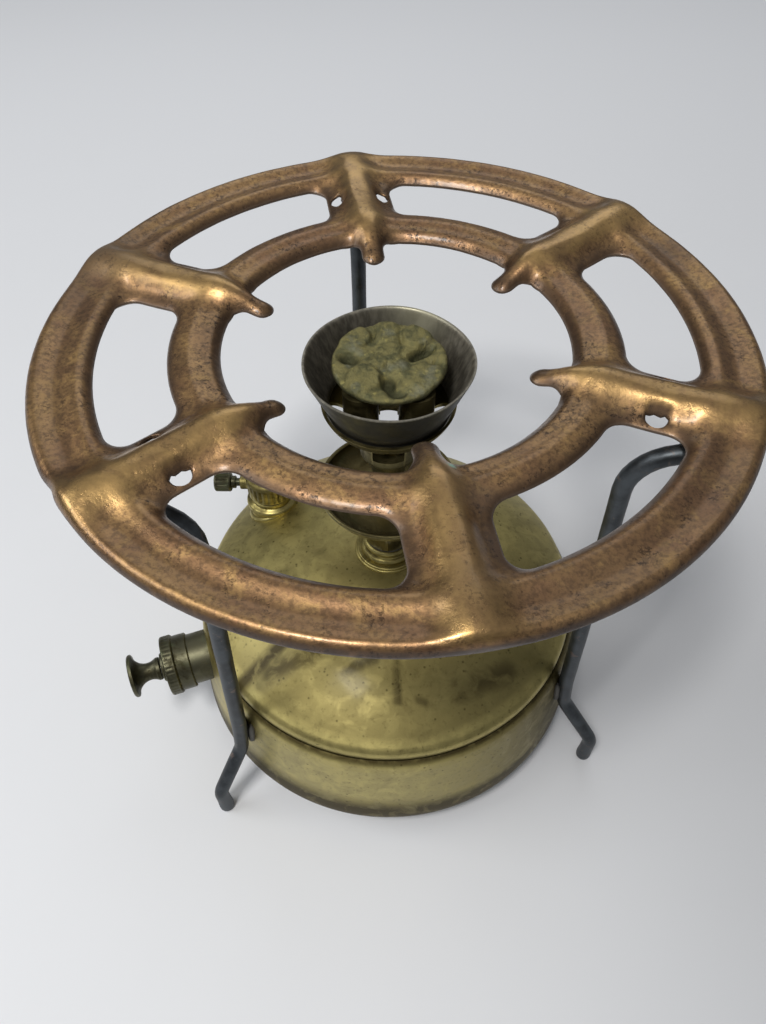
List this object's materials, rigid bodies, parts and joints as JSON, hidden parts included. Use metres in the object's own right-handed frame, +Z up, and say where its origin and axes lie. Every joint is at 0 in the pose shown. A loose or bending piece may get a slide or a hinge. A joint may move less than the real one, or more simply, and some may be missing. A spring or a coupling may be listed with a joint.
{
  "type": "pressure stove",
  "caption": "Brass liquid-fuel pressure stove on bent rod legs, with a roarer burner, hand pump, vented filler cap and a lift-off pressed pot ring.",
  "frame": {"origin": "on the tank's axis, in the plane that the feet stand on", "axes": "+Z up, +X to the right of the picture, +Y away from its camera"},
  "size_m": [0.2257, 0.22, 0.2068],
  "materials": {
    "tank_brass": "worn polished brass with a brown patina",
    "cap_brass": "handled brass, brown in the hollows",
    "burner_brass": "dull heat-darkened brass",
    "head_brass": "rough heat-bleached brass",
    "pump_brass": "dark green-brown brass",
    "flame_steel": "blued and browned sheet steel",
    "ring_steel": "copper-brown pressed steel with dark heat marks",
    "leg_steel": "dark grey drawn rod",
    "solder": "dull grey solder",
    "washer_metal": "soft grey sealing metal",
    "rod_steel": "bright rod",
    "gasket_rubber": "matte",
    "pump_leather": "oiled"
  },
  "bodies": {
    "tank": {"tank_dome": "tank_brass", "tank_wall": "tank_brass", "tank_base": "tank_brass", "burner_socket": "tank_brass", "filler_socket": "tank_brass", "leg_right": "leg_steel", "leg_left": "leg_steel", "leg_back": "leg_steel", "leg_solder": "solder", "pump_barrel": "pump_brass", "valve_body": "pump_brass"},
    "burner_washer": {"burner_washer": "washer_metal"},
    "burner": {"burner_stem": "burner_brass", "spirit_cup": "burner_brass", "burner_bowl": "burner_brass", "burner_pillars": "burner_brass", "burner_head": "head_brass", "nipple": "tank_brass"},
    "flame_ring": {"flame_ring": "flame_steel"},
    "pot_ring": {"pot_ring": "ring_steel"},
    "filler_gasket": {"filler_gasket": "gasket_rubber"},
    "filler_cap": {"filler_cap": "cap_brass"},
    "vent_screw": {"vent_screw": "pump_brass"},
    "pump_washer": {"pump_washer": "pump_leather"},
    "pump_cap": {"pump_cap": "pump_brass"},
    "pump_rod": {"pump_rod": "rod_steel", "pump_knob": "pump_brass", "piston_nut": "tank_brass", "piston_plate": "tank_brass", "piston_cup": "pump_leather", "piston_spreader": "tank_brass"}
  },
  "joints": [
    {"name": "pot_ring_lift", "type": "slide", "parent": "tank", "child": "pot_ring", "axis": [0, 0, 1], "range_m": [0, 0.06]},
    {"name": "burner_rise", "type": "slide", "parent": "tank", "child": "burner_washer", "axis": [0, 0, 1], "range_m": [0, 0.00375]},
    {"name": "burner_turn", "type": "hinge", "parent": "burner_washer", "child": "burner", "pos_m": [0, 0, 0.1], "axis": [0, 0, 1], "range_deg": [0, 1080]},
    {"name": "flame_ring_lift", "type": "slide", "parent": "burner", "child": "flame_ring", "axis": [0, 0, 1], "range_m": [0, 0.03]},
    {"name": "filler_rise", "type": "slide", "parent": "tank", "child": "filler_gasket", "axis": [0, 0, 1], "range_m": [0, 0.0045]},
    {"name": "filler_turn", "type": "hinge", "parent": "filler_gasket", "child": "filler_cap", "pos_m": [-0.053, 0.034, 0.0875], "axis": [0, 0, 1], "range_deg": [0, 1080]},
    {"name": "vent_turn", "type": "hinge", "parent": "filler_cap", "child": "vent_screw", "pos_m": [-0.053, 0.034, 0.092], "axis": [-1, 0, 0], "range_deg": [0, 360]},
    {"name": "pump_cap_rise", "type": "slide", "parent": "tank", "child": "pump_washer", "axis": [-0.9415, -0.3371, 0], "range_m": [0, 0.0036]},
    {"name": "pump_cap_turn", "type": "hinge", "parent": "pump_washer", "child": "pump_cap", "pos_m": [-0.09151, -0.03277, 0.048], "axis": [-0.9415, -0.3371, 0], "range_deg": [0, 1080]},
    {"name": "pump_stroke", "type": "slide", "parent": "pump_cap", "child": "pump_rod", "axis": [-0.9415, -0.3371, 0], "range_m": [0, 0.07]}
  ],
  "couplings": [
    {"joint": "burner_turn", "follows": "burner_rise", "rad_per_m": 5026.6},
    {"joint": "filler_turn", "follows": "filler_rise", "rad_per_m": 4188.8},
    {"joint": "pump_cap_turn", "follows": "pump_cap_rise", "rad_per_m": 5236}
  ]
}
